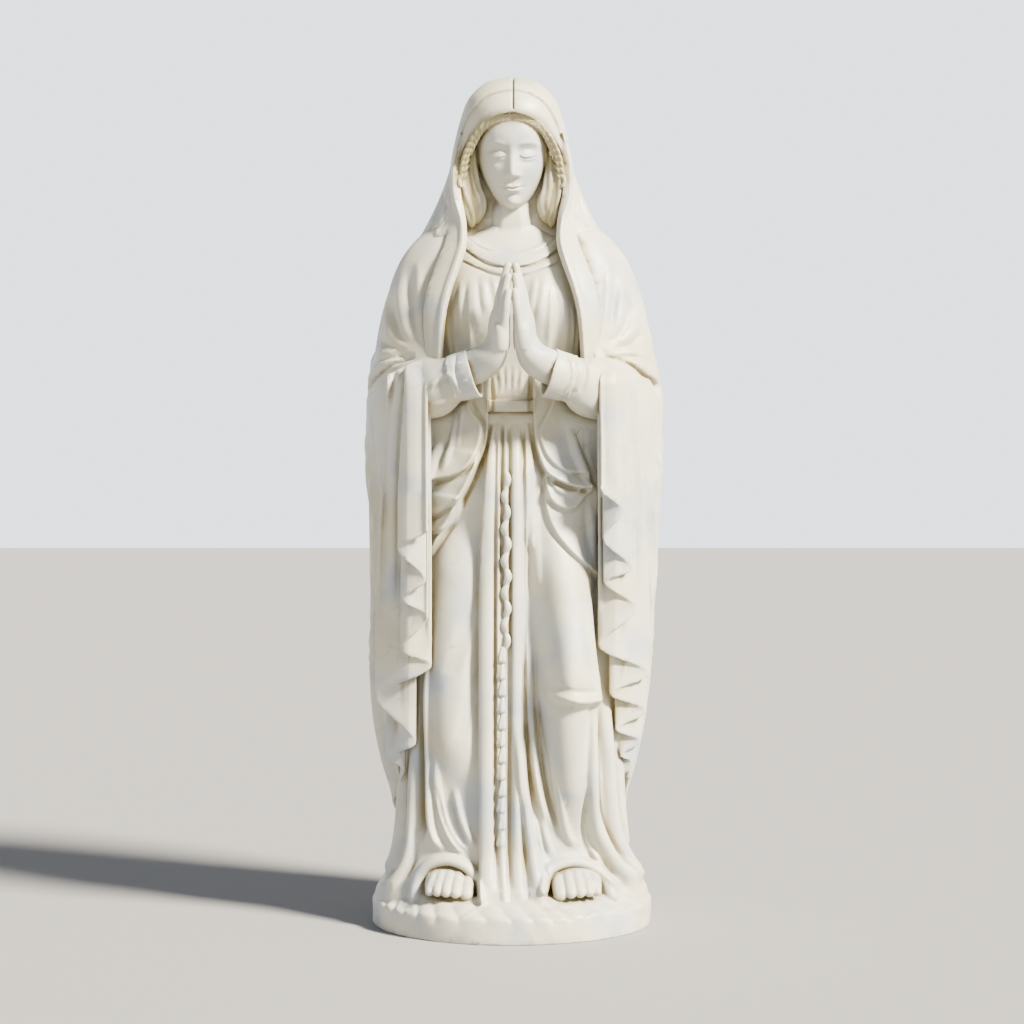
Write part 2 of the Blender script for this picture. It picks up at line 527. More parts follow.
def gown_relief(x, z, turn):
    """Everything that is carved on the gown, as a height over its plain section."""
    total = np.zeros(x.shape)
    facing = np.cos(turn) > -0.1
    x, z, turn = x[facing], z[facing], turn[facing]
    rise = bent_leg(x, z)
    gap, along = near_path(x, z, PANEL_EDGE)
    spread = PANEL_SPREAD * smooth(0.36, 0.09, z)
    panel = smooth(-0.0018, 0.0018, gap) * smooth(0.034, 0.022, x - spread) * smooth(1.024, 0.90, z)
    rise = np.maximum(rise, PANEL_HEIGHT * panel)
    for path, width, height in PANEL_FOLDS + PANEL_GROOVES:
        rise += fold(x, z, path, width, height, ends=0.05, round_top=0.8)
    for path, width, height in TRAIN_FOLDS + RIGHT_LEG_FOLDS + LEFT_LEG_FOLDS:
        rise += fold(x, z, path, width, height, ends=0.22)
    for path, width, height in UNDER_ARM_FOLDS:
        rise += fold(x, z, path, width, height, ends=0.35)
    for path, width, height in CHEST_FOLDS:
        rise += fold(x, z, path, width, SOFTNESS * height, ends=0.35)
    for path, width, height in WAIST_PLEATS:
        rise += fold(x, z, path, width, SOFTNESS * height, ends=0.45)
    for path, height in COAT_HEMS:
        rise += lap(x, z, path if path[0][0] > 0 else path[::-1], height, 0.045)
    for arch in FOOT_ARCHES:
        gap, along = near_path(x, z, arch)
        rise += 0.017 * np.clip(1 - (gap / 0.0125) ** 2, 0, None) ** 0.6
        under = smooth(-0.010, -0.014, gap) * (np.abs(x - np.mean(arch, axis=0)[0]) < 0.07) * (z < 0.15)
        rise -= 0.003 * under
    # The panel's hem runs forward over the base
    hem = smooth(-0.070, -0.058, x) * smooth(0.078, 0.064, x)
    rise += (0.026 * smooth(0.17, 0.080, z) + 0.003 * smooth(0.100, 0.092, z)) * hem * smooth(0.058, 0.066, z)
    up = np.abs(z - BELT_Z)
    belt = (
        smooth(BELT_HALF_HEIGHT + 0.001, BELT_HALF_HEIGHT - 0.001, up)
        * smooth(0.047, 0.043, np.abs(x + 0.002))
    )
    rise += 0.0070 * belt - 0.002 * np.exp(-((up - 0.016) / 0.002) ** 2) * (np.abs(x) < 0.042)
    bust = 0.014 * np.exp(-((np.abs(x) - 0.062) / 0.045) ** 2 - ((z - 1.225) / 0.055) ** 2)
    hips = 0.010 * np.exp(-((z - 0.88) / 0.08) ** 2)
    worn = 0.0011 * np.sin(31 * x + 9 * z) * np.sin(17 * z - 12 * x + 1) + 0.0007 * np.sin(70 * x - 22 * z)
    rise += neckline(x, z) * (z > 1.27)
    total[facing] = (rise + bust + hips + worn) * smooth(-0.1, 0.3, np.cos(turn))
    return total


# ---------------------------------------------------------------- frill
# A narrow ruffled band hangs down the middle of the panel: twisted like a ribbon above, and below it a row of
# small overlapping bells.

RUFFLES, RUFFLE_STEP, RUFFLE_TOP_Z = 11, 0.0315, 0.890
BELLS, BELL_STEP, BELL_TOP_Z = 12, 0.0325, 0.545


def frill():
    forms = []
    for k in range(RUFFLES):
        z = RUFFLE_TOP_Z - RUFFLE_STEP * k
        lean = 0.0040 * (-1) ** k
        leaf = [
            (-0.0100 - lean, -0.1430, z + 0.021), (-0.0105 + lean, -0.1475, z),
            (-0.0115 - 0.5 * lean, -0.1440, z - 0.018),
        ]
        forms.append(limb(
            f"ruffle_{k}", leaf, [0.0030, 0.0080, 0.0050], [0.0040, 0.0062, 0.0045],
            up=(0.5 * (-1) ** k, -1, 0),
        ))
    for k in range(BELLS):
        z = BELL_TOP_Z - BELL_STEP * k
        x = -0.0185 + 0.0012 * (-1) ** k
        y = -GOWN_FRONT(z) - 0.0160
        bell = [
            (x + 0.0015, y + 0.001, z + 0.021), (x, y - 0.001, z + 0.004), (x - 0.002, y - 0.0030, z - 0.0145)
        ]
        forms.append(limb(
            f"bell_{k}", bell, [0.0050, 0.0078, 0.0100], [0.0035, 0.0060, 0.0080],
            up=(0.3 * (-1) ** k, -1, 0),
            bulge=lambda turn, v: 0.0010 * np.cos(5 * turn) * v,
        ))
    return forms


# ---------------------------------------------------------------- mantle
# A wide mantle falls from the shoulders to the ground behind and over both forearms. It is drawn up in the
# crook of each arm, so its folds run together there; down the back they are long, plain and grow towards the
# hem.

MANTLE_WALL = 0.030
MANTLE_TOP = 1.40
MANTLE_HEM_Z = 0.125
MANTLE_HALF_WIDTH = profile(
    (0.10, 0.205), (0.20, 0.205), (0.26, 0.212), (0.33, 0.232), (0.44, 0.252), (0.60, 0.258), (0.80, 0.268),
    (0.92, 0.275), (1.02, 0.280), (1.08, 0.274), (1.13, 0.266), (1.19, 0.254), (1.25, 0.239), (1.28, 0.2300),
    (1.31, 0.2175), (1.336, 0.203), (1.365, 0.178), (1.385, 0.150), (1.41, 0.105),
)
MANTLE_BACK = profile(
    (0.10, 0.212), (0.40, 0.190), (0.80, 0.174), (1.10, 0.176), (1.25, 0.168), (1.34, 0.140), (1.41, 0.08)
)
MANTLE_FRONT = profile(
    (0.10, 0.080), (0.30, 0.085), (0.45, 0.100), (0.60, 0.120), (0.80, 0.150), (1.00, 0.178), (1.08, 0.172),
    (1.16, 0.148), (1.24, 0.125), (1.32, 0.096), (1.41, 0.05),
)
MANTLE_OPENING = profile(
    (0.10, 0.97), (0.30, 0.96), (0.36, 0.91), (0.45, 0.84), (0.55, 0.75), (0.95, 0.72), (1.02, 0.68),
    (1.08, 0.60), (1.14, 0.56), (1.21, 0.61), (1.27, 0.63), (1.33, 0.60), (1.37, 0.68), (1.41, 0.80),
)

CREASE_WIDTH = 1.25
CREASE_HEIGHT = 0.68
# Each row: path of (distance from the middle, z) points on the front of the arm, width, height, before they
# are eased
RIGHT_ARM_FOLDS = [
    ([(0.178, 1.330), (0.178, 1.260), (0.174, 1.190), (0.166, 1.140)], 0.0045, -0.0080),
    ([(0.192, 1.320), (0.193, 1.250), (0.186, 1.190), (0.172, 1.142)], 0.0130, 0.0095),
    ([(0.212, 1.300), (0.214, 1.240), (0.200, 1.180), (0.180, 1.143)], 0.0065, -0.0085),
    ([(0.228, 1.260), (0.230, 1.215), (0.212, 1.170), (0.182, 1.142)], 0.0130, 0.0110),
    ([(0.240, 1.215), (0.232, 1.180), (0.210, 1.153), (0.186, 1.139)], 0.0055, -0.0085),
    ([(0.256, 1.170), (0.240, 1.155), (0.214, 1.143), (0.186, 1.136)], 0.0085, 0.0100),
    ([(0.262, 1.133), (0.240, 1.135), (0.214, 1.137), (0.186, 1.133)], 0.0050, -0.0090),
    ([(0.270, 1.113), (0.250, 1.122), (0.220, 1.130), (0.190, 1.131)], 0.0075, 0.0090),
    ([(0.277, 1.066), (0.262, 1.092), (0.236, 1.113), (0.206, 1.125)], 0.0075, -0.0170),
    ([(0.280, 1.040), (0.266, 1.072), (0.243, 1.095), (0.214, 1.110)], 0.0120, 0.0100),
]
LEFT_ARM_FOLDS = [
    ([(0.176, 1.330), (0.178, 1.260), (0.172, 1.190), (0.162, 1.140)], 0.0045, -0.0080),
    ([(0.190, 1.310), (0.187, 1.240), (0.180, 1.180), (0.166, 1.142)], 0.0100, 0.0085),
    ([(0.206, 1.290), (0.201, 1.230), (0.186, 1.175), (0.167, 1.142)], 0.0060, -0.0090),
    ([(0.224, 1.250), (0.216, 1.205), (0.196, 1.165), (0.170, 1.141)], 0.0120, 0.0100),
    ([(0.232, 1.215), (0.217, 1.180), (0.196, 1.155), (0.172, 1.140)], 0.0060, -0.0120),
    ([(0.246, 1.185), (0.232, 1.165), (0.206, 1.148), (0.176, 1.138)], 0.0110, 0.0120),
    ([(0.252, 1.128), (0.230, 1.133), (0.206, 1.135), (0.178, 1.133)], 0.0050, -0.0100),
    ([(0.266, 1.115), (0.244, 1.122), (0.216, 1.128), (0.186, 1.130)], 0.0080, 0.0090),
    ([(0.279, 1.084), (0.260, 1.097), (0.234, 1.115), (0.208, 1.124)], 0.0060, -0.0130),
    ([(0.280, 1.050), (0.266, 1.078), (0.243, 1.098), (0.214, 1.110)], 0.0110, 0.0090),
]
# Each row: path of (turn from the back, z) points, width in turn, height. A turn of 1 is about this long on
# the cloth.
TURN_LENGTH = 0.25
SIDE_FOLDS = [
    ([(1.25, 1.34), (1.52, 1.24), (1.80, 1.16)], 0.075, 0.011),
    ([(0.95, 1.30), (1.30, 1.20), (1.62, 1.125)], 0.080, 0.011),
    ([(0.90, 1.20), (1.20, 1.12), (1.55, 1.075)], 0.070, 0.009),
    ([(1.18, 1.36), (1.40, 1.26), (1.70, 1.17)], 0.026, -0.006),
    ([(1.00, 1.25), (1.30, 1.16), (1.62, 1.10)], 0.026, -0.006),
    ([(1.66, 1.02), (1.68, 0.80), (1.68, 0.42)], 0.050, 0.012),
    ([(1.76, 1.02), (1.78, 0.80), (1.78, 0.42)], 0.018, -0.010),
    ([(1.90, 1.04), (1.92, 0.80), (1.92, 0.42)], 0.050, 0.012),
    ([(1.42, 0.98), (1.44, 0.80), (1.46, 0.35)], 0.055, 0.012),
    ([(1.54, 1.04), (1.55, 0.80), (1.56, 0.38)], 0.020, -0.010),
]


def mantle_edge(z):
    """The turn from the back at which the mantle's front edge lies."""
    return math.pi - np.arcsin(np.clip(MANTLE_OPENING(z), 0, 1))


def mantle_hem(turn):
    return MANTLE_HEM_Z + 0.165 * smooth(0.9, 1.9, np.abs(turn)) + 0.008 * np.sin(11 * turn + 1)


def mantle_section(turn, z):
    x, y = oval(turn + math.pi, MANTLE_HALF_WIDTH(z), MANTLE_FRONT(z), MANTLE_BACK(z), 2.0)
    return 0.004 - x, y


def mantle_relief(x, z, turn):
    """Long folds down the back, growing towards the hem, and the folds gathered in the crook of each arm."""
    back = smooth(2.0, 1.45, np.abs(turn))
    grow = 0.18 + 0.82 * smooth(1.25, 0.45, z)
    spread = turn / (0.80 + 0.20 * smooth(1.3, 0.2, z)) + 0.10 * np.sin(2.3 * z + 0.5)
    wave = np.cos(7.0 * spread) + 0.45 * np.cos(12.0 * spread + 1.3) + 0.3 * np.cos(4.0 * spread + 2.0)
    pinch = (
        1.6 * (0.5 + 0.5 * np.cos(9.0 * spread + 0.8)) ** 6
        + 1.2 * (0.5 + 0.5 * np.cos(5.0 * spread + 2.4)) ** 8
    )
    rise = (0.0095 * wave - 0.0050 * pinch) * grow * back
    pull = smooth(0.0, 0.8, np.abs(turn)) * smooth(0.98, 1.12, z) * smooth(1.36, 1.26, z) * back
    rise += 0.0022 * np.sin(46 * (z + 0.16 * np.abs(turn))) * pull
    rise += 0.0012 * np.sin(9 * turn + 14 * z) * np.sin(21 * z - 5 * turn)
    for side, folds in ((-1, RIGHT_ARM_FOLDS), (1, LEFT_ARM_FOLDS)):
        ahead = (side * turn > 1.45) & (z > 1.02) & (z < 1.37)
        out = side * (x[ahead] - 0.004)
        beyond = np.clip(2.0 - side * turn[ahead], 0, None) * 0.02
        for path, width, height in folds:
            rise[ahead] += fold(
                out + beyond, z[ahead], path, CREASE_WIDTH * width, CREASE_HEIGHT * height, ends=0.30
            )
        for path, width, height in SIDE_FOLDS:
            run = [(TURN_LENGTH * girth, up) for girth, up in path]
            rise += fold(TURN_LENGTH * side * turn, z, run, TURN_LENGTH * width, height, ends=0.25)
    return rise


def cloth(name, across, along, place, thickness):
    """A sheet of stone cloth with a wall."""
    form = grid(name, across, along, place)
    finish_with(form, "SOLIDIFY", thickness=thickness, offset=0)
    return form


def mantle():
    def place(u, v):
        w = 2 * u - 1
        turn = w * mantle_edge(MANTLE_HEM_Z + (MANTLE_TOP - MANTLE_HEM_Z) * v)
        z = mantle_hem(turn) + (MANTLE_TOP - mantle_hem(turn)) * v
        turn = w * mantle_edge(z)
        return raised(mantle_section, turn, z, mantle_relief(mantle_section(turn, z)[0], z, turn))

    return cloth("mantle_sheet", int(1.3 / BODY_GRAIN), int(1.3 / BODY_GRAIN), place, MANTLE_WALL)


def inner_cloth():
    """The stone left standing behind the hanging cloth."""

    def section(turn, z):
        return oval(
            turn, MANTLE_HALF_WIDTH(z) - 0.008, 0.105 * smooth(1.14, 1.00, z) + 0.01,
            MANTLE_BACK(z) - 0.006, 2.2,
        )

    return body_form("inner_cloth", 0.30, 1.16, section, lambda x, z, turn: np.zeros(x.shape), grain=0.006)


# ---------------------------------------------------------------- hanging edges
# From each forearm the mantle's free edge hangs nearly to the ground, folded to and fro on itself, so its hem
# steps down in zigzags, each layer behind and below the last.

# Each row: where the hem turns back, as (x, z)
LEFT_HEM_TURNS = [
    (0.171, 0.873), (0.212, 0.828), (0.177, 0.774), (0.231, 0.713), (0.179, 0.690), (0.241, 0.635),
    (0.169, 0.563), (0.268, 0.502), (0.192, 0.467), (0.264, 0.426), (0.204, 0.393), (0.253, 0.364),
    (0.214, 0.338), (0.237, 0.323), (0.218, 0.288),
]
RIGHT_HEM_TURNS = [
    (-0.161, 0.793), (-0.218, 0.756), (-0.167, 0.692), (-0.212, 0.656), (-0.163, 0.621), (-0.214, 0.555),
    (-0.157, 0.524), (-0.266, 0.459), (-0.188, 0.368), (-0.245, 0.336), (-0.210, 0.311), (-0.218, 0.282),
]
# Each row: path of (distance from the middle, z) points, width, height
RIGHT_HANGING_FOLDS = [
    ([(0.162, 1.120), (0.163, 1.00), (0.161, 0.80), (0.160, 0.55)], 0.0060, 0.0060),
    ([(0.186, 1.110), (0.188, 1.00), (0.190, 0.85)], 0.0180, 0.0030),
    ([(0.211, 1.110), (0.221, 1.04), (0.228, 0.95), (0.231, 0.80), (0.234, 0.62)], 0.0095, 0.0085),
    ([(0.222, 1.110), (0.234, 1.05), (0.241, 0.97), (0.247, 0.86), (0.252, 0.60)], 0.0075, -0.0075),
    ([(0.236, 1.095), (0.248, 1.04), (0.254, 0.94), (0.260, 0.78)], 0.0085, 0.0080),
    ([(0.250, 1.080), (0.261, 1.01), (0.267, 0.94), (0.272, 0.75)], 0.0070, -0.0065),
]
LEFT_HANGING_FOLDS = [
    ([(0.166, 1.120), (0.168, 1.00), (0.170, 0.86), (0.172, 0.62)], 0.0060, 0.0060),
    ([(0.182, 1.110), (0.190, 1.00), (0.196, 0.88)], 0.0160, 0.0030),
    ([(0.232, 1.102), (0.246, 1.06), (0.256, 0.99), (0.262, 0.87), (0.262, 0.72)], 0.0080, -0.0050),
]
LAYER_GAP = 0.0102
LAYER_WALL = 0.0052
ARM_CREST_Z = 1.130


def hanging_edge(name, turns, folds):
    """Cloth folded to and fro from the arm down: each layer of it hangs a little behind the last."""
    steps = np.array(turns)
    span = np.abs(np.diff(steps[:, 0]))
    reach = np.concatenate([[0], np.cumsum(span + 0.02)])
    reach /= reach[-1]

    def place(u, v):
        turn_no = np.interp(u, reach, np.arange(len(steps)))
        k = np.minimum(turn_no.astype(int), len(steps) - 2)
        part = turn_no - k
        eased = 0.5 - 0.5 * np.cos(math.pi * part)
        x = steps[k, 0] + (steps[k + 1, 0] - steps[k, 0]) * eased
        hem = steps[k, 1] + (steps[k + 1, 1] - steps[k, 1]) * (0.85 * part + 0.15 * eased)
        # Gathered over the arm, the layers fan out on their way down
        x = np.sign(x) * (0.160 + (np.abs(x) - 0.160) * (0.76 + 0.24 * smooth(0.0, 0.8, v)))
        outward = np.clip(np.abs(x) - 0.165, 0, None)
        top = ARM_CREST_Z - 0.45 * outward
        z = top + (hem - top) * v
        near = -0.186 + 0.55 * np.clip(np.abs(x) - 0.20, 0, None)
        loose = 0.40 + 0.60 * smooth(0.0, 0.7, v)
        round_turn = part - 0.13 * np.sin(2 * math.pi * part)
        y = near + LAYER_GAP * (k + round_turn) * loose
        # At its top the cloth bends back over the arm
        y += 0.090 * np.clip(1 - (1.150 - z) / 0.080, 0, 1) ** 2
        y -= 0.0012 * np.exp(-(((1 - v) * (top - hem) - 0.004) / 0.003) ** 2)
        for path, width, height in folds:
            y -= fold(np.abs(x), z, path, width, height, ends=0.10)
        return points(x, y, z)

    length = (span + 0.02).sum()
    return cloth(name, int(1.8 * length / BODY_GRAIN), int(0.8 / BODY_GRAIN), place, LAYER_WALL)


# ---------------------------------------------------------------- sleeves
# The gown's wide sleeves show between the mantle and the hands. Each ends in a turned-back cuff that lies
# close round the wrist and is drawn to a point below it.

CUFF_WALL = 0.0065


def sleeve(side, sign):
    def creased(turn, v):
        under = smooth(0.2, -0.7, np.sin(turn))
        return (
            0.0015 * np.sin(3 * turn + 9 * v) * smooth(0, 0.3, v)
            + 0.0012 * under * np.sin(18 * v + 1.5 * turn)
        )

    arm = [(0.245, 0.000, 1.050), (0.158, -0.134, 1.069), (0.118, -0.168, 1.086), (0.088, -0.181, 1.096)]
    upper = limb(
        f"sleeve_{side}", [(sign * x, y, z) for x, y, z in arm], [0.045, 0.048, 0.0375, 0.031],
        [0.050, 0.060, 0.0460, 0.037],
        round_ends=False, bulge=creased, grain=BODY_GRAIN,
    )
    start, end = np.array([sign * 0.113, -0.176, 1.089]), np.array([sign * 0.0690, -0.187, 1.101])
    axis = (end - start) / np.linalg.norm(end - start)
    across = np.cross(axis, (0, 0, 1))
    across /= np.linalg.norm(across)
    above = np.cross(across, axis)

    def place(u, v):
        turn = 2 * math.pi * u
        low = smooth(0.0, -1.0, np.sin(turn))
        slant = -0.001 * low - 0.004 * smooth(0.0, 1.0, np.sin(turn))
        reach = start + (end - start) * v[:, None] + axis * (slant * v)[:, None]
        flare = (
            1 + 0.03 * v - 0.05 * np.exp(-((v - 0.10) / 0.06) ** 2)
            + 0.025 * np.exp(-((v - 0.95) / 0.08) ** 2)
        )
        wave = 1 + 0.016 * np.sin(4 * turn + 1.5) * v
        wide = 0.0355 * flare * wave
        high = (0.0415 + 0.0035 * low) * flare * wave
        return reach + across * (wide * np.cos(turn))[:, None] + above * (high * np.sin(turn))[:, None]

    cuff = cloth(f"cuff_{side}", 150, 34, place, CUFF_WALL)
    return [upper, cuff]


# ---------------------------------------------------------------- hands
# The hands are pressed together in prayer before the breast, palms meeting, with the little fingers foremost.
# A narrow slit is drilled between the palms.

HAND_GRAIN = 0.0009


def hand(side, sign):
    def mirrored(path):
        return [(sign * x, y, z) for x, y, z in path]

    palm = [
        (0.120, -0.168, 1.092), (0.072, -0.189, 1.110), (0.0420, -0.205, 1.129), (0.0270, -0.214, 1.162),
        (0.0230, -0.217, 1.200), (0.0160, -0.219, 1.236),
    ]
    forms = [limb(
        f"palm_{side}", mirrored(palm), [0.032, 0.0340, 0.0305, 0.0185, 0.0155, 0.0105],
        [0.026, 0.0265, 0.0310, 0.0355, 0.0355, 0.030], up=(sign * 0.42, 0.90, 0), grain=HAND_GRAIN,
    )]
    heel = [(0.0185, -0.234, 1.200), (0.0205, -0.230, 1.164), (0.0235, -0.221, 1.137)]
    forms.append(limb(
        f"heel_{side}", mirrored(heel), [0.0155, 0.0178, 0.0185], [0.0180, 0.0230, 0.0220],
        up=(0, -1, 0), grain=HAND_GRAIN,
    ))
    fingers = [
        [(0.0175, -0.2370, 1.160), (0.0110, -0.2495, 1.215), (0.0056, -0.2480, 1.260)],
        [(0.0215, -0.2310, 1.175), (0.0147, -0.2400, 1.238), (0.0054, -0.2380, 1.290)],
        [(0.0280, -0.2230, 1.185), (0.0196, -0.2265, 1.250), (0.0054, -0.2250, 1.312)],
        [(0.0345, -0.2070, 1.180), (0.0232, -0.2110, 1.244), (0.0060, -0.2120, 1.303)],
    ]
    for k, finger in enumerate(fingers):
        size = (0.0082, 0.0088, 0.0092, 0.0088)[k]
        girth = [size * 1.08, size * 1.10, size * 0.97, size * 1.03, size * 0.90, size * 0.78]
        forms.append(limb(
            f"finger_{side}_{k}", mirrored(finger), girth, girth, up=(0, -1, 0), grain=HAND_GRAIN
        ))
    thumb = mirrored([(0.038, -0.186, 1.142), (0.025, -0.172, 1.180), (0.0095, -0.168, 1.222)])
    girth = [0.0130, 0.0110, 0.0085]
    forms.append(limb(f"thumb_{side}", thumb, girth, girth, up=(0, -1, 0), grain=HAND_GRAIN))
    return forms


# ---------------------------------------------------------------- head
# The bowed head on its slender neck. The face is calm, its eyes lowered, laid out on the plain proportions of
# a drawing manual: eyes at half the head's height, the nose a third and the mouth half way down from the brow
# to the chin.

HEAD_PLACE = (0.001, -0.004, 1.545)
HEAD_TILT = math.radians(8)
HEAD_HALF_WIDTH = profile(
    (-0.112, 0.008), (-0.105, 0.023), (-0.092, 0.0365), (-0.072, 0.0505), (-0.045, 0.0625), (-0.020, 0.0695),
    (0.0, 0.072), (0.03, 0.074), (0.06, 0.0705), (0.09, 0.059), (0.108, 0.042), (0.122, 0.004),
)
HEAD_FRONT = profile(
    (-0.112, 0.052), (-0.106, 0.072), (-0.098, 0.083), (-0.086, 0.085), (-0.070, 0.087), (-0.050, 0.089),
    (-0.030, 0.090), (-0.010, 0.089), (0.008, 0.090), (0.025, 0.094), (0.045, 0.0925), (0.07, 0.083),
    (0.09, 0.068), (0.108, 0.048), (0.122, 0.004),
)
HEAD_BACK = profile(
    (-0.112, 0.01), (-0.08, 0.045), (-0.03, 0.085), (0.03, 0.100), (0.07, 0.092), (0.10, 0.062),
    (0.122, 0.004)
)


def bell_curve(offset, width):
    return np.exp(-((offset / width) ** 2))


def nose(a, z):
    """Heights over the plain face, here and below, by distance from its middle line and height on it."""
    width = 0.0092 + 0.0034 * smooth(0.014, -0.034, z)
    ridge = (
        (0.0022 + 0.0122 * smooth(0.024, -0.036, z)) * smooth(-0.0490, -0.0395, z) * smooth(0.036, 0.008, z)
    )
    rise = ridge * bell_curve(a, width)
    rise += 0.0014 * bell_curve(a, 0.0080) * bell_curve(z + 0.0380, 0.0066)
    rise += 0.0034 * bell_curve(a - 0.0122, 0.0040) * bell_curve(z + 0.0405, 0.0054)
    return rise - 0.0024 * bell_curve(a - 0.0058, 0.0026) * bell_curve(z + 0.0478, 0.0018)


def lowered_eye(a, z):
    out = a - 0.0305
    rise = -0.0040 * bell_curve(out - 0.003, 0.0175) * bell_curve(z - 0.0085, 0.0085)
    rise -= 0.0014 * bell_curve(a - 0.0150, 0.0060) * bell_curve(z - 0.0030, 0.0095)
    rise -= 0.0014 * bell_curve(out, 0.0200) * bell_curve(z + 0.0155, 0.0060)
    rise += 0.0046 * np.clip(1 - (out / 0.0192) ** 2 - ((z + 0.0004) / 0.0120) ** 2, 0, None)
    lid = -0.0068 + 0.0042 * (out / 0.0155) ** 2
    eye_length = smooth(0.0175, 0.0140, np.abs(out))
    rise += (
        0.0012 * bell_curve(z - lid - 0.0014, 0.0013) - 0.0030 * bell_curve(z - lid + 0.0009, 0.0013)
    ) * eye_length
    crease = 0.0094 - 0.0056 * (out / 0.0165) ** 2
    rise -= 0.0018 * bell_curve(z - crease, 0.0015) * smooth(0.0190, 0.0135, np.abs(out))
    rise += 0.0008 * bell_curve(z + 0.0120 - 0.004 * (out / 0.0155) ** 2, 0.0020) * eye_length
    brow = 0.0235 - 0.0070 * ((out - 0.002) / 0.0235) ** 2
    return rise + 0.0018 * bell_curve(z - brow, 0.0042) * smooth(0.0265, 0.010, np.abs(out - 0.003))


def mouth(a, z):
    line = -0.0660 + 5.0 * a**2 - 0.0010 * bell_curve(a, 0.0040)
    rise = 0.0022 * bell_curve(a, 0.020) * bell_curve(z + 0.066, 0.014)
    rise += (
        0.0040 * bell_curve(z - line - 0.0036, 0.0030) * smooth(0.0205, 0.010, a)
        * (1 - 0.22 * bell_curve(a, 0.0026))
    )
    rise += 0.0050 * bell_curve(z - line + 0.0044, 0.0036) * smooth(0.0180, 0.006, a)
    rise -= 0.0036 * bell_curve(z - line, 0.0011) * smooth(0.0215, 0.0180, a)
    rise -= 0.0018 * bell_curve(a - 0.0215, 0.0026) * bell_curve(z + 0.0636, 0.0028)
    rise -= 0.0009 * bell_curve(a, 0.0026) * smooth(-0.0600, -0.0570, z) * smooth(-0.0470, -0.0500, z)
    return rise - 0.0034 * bell_curve(a, 0.014) * bell_curve(z + 0.0795, 0.0046)


def face_relief(x, z):
    a = np.abs(x)
    rise = nose(a, z) + lowered_eye(a, z) + mouth(a, z)
    rise += 0.0044 * bell_curve(a, 0.014) * bell_curve(z + 0.0950, 0.0100)
    return rise + 0.0040 * bell_curve(a - 0.040, 0.020) * bell_curve(z + 0.032, 0.022)


def head():
    low, high = -0.112, 0.122
    c, s = math.cos(HEAD_TILT), math.sin(HEAD_TILT)

    def place(u, v):
        z = low + (high - low) * (0.5 - 0.5 * np.cos(math.pi * v))
        w = 2 * u - 1
        turn = math.pi * (0.42 * w + 0.58 * w**3)
        x, y = oval(turn, HEAD_HALF_WIDTH(z), HEAD_FRONT(z), HEAD_BACK(z), 2.15)
        y = y - face_relief(x, z) * smooth(0.0, 0.5, np.cos(turn))
        return points(x + HEAD_PLACE[0], c * y - s * z + HEAD_PLACE[1], s * y + c * z + HEAD_PLACE[2])

    skull = lump("skull", 560, 380, place)

    def sinews(turn, v):
        front = np.angle(np.exp(1j * (turn - math.pi / 2)))
        cords = 0.0022 * bell_curve(np.abs(front) - 0.62 + 0.35 * v, 0.16)
        return cords - 0.0025 * bell_curve(front, 0.22) * smooth(0.5, 0.1, v)

    neck = limb(
        "neck", [(0, 0.022, 1.30), (0, 0.002, 1.38), (0, -0.004, 1.47)],
        [0.070, 0.0495, 0.0505], [0.068, 0.0495, 0.050],
        up=(0, -1, 0), bulge=sinews,
    )
    return [skull, neck]


# ---------------------------------------------------------------- hair
# Waved hair, parted in the middle, shows as a narrow twisted roll under the edge of the veil and falls in two
# smooth lobes beside the neck.


# Each row: path of (x, y, z) points, girth along it
LOBES = [
    ([(0.0785, -0.034, 1.560), (0.0790, -0.036, 1.515), (0.0740, -0.037, 1.470), (0.0665, -0.036, 1.438),
      (0.0690, -0.030, 1.400)], [0.0090, 0.0120, 0.0145, 0.0160, 0.0070]),
    ([(0.0920, -0.034, 1.548), (0.0955, -0.038, 1.500), (0.0925, -0.040, 1.460), (0.0835, -0.038, 1.425),
      (0.0780, -0.031, 1.392)], [0.0100, 0.0130, 0.0150, 0.0140, 0.0070]),
    ([(0.078, -0.006, 1.540), (0.0760, 0.002, 1.480), (0.0700, 0.004, 1.430), (0.0650, 0.004, 1.380)],
     [0.020, 0.020, 0.020, 0.018]),
]


def twisted(turns, depth):
    return lambda turn, v: depth * (np.abs(np.sin(1.5 * turn + turns * math.pi * v)) ** 0.6 - 0.6)


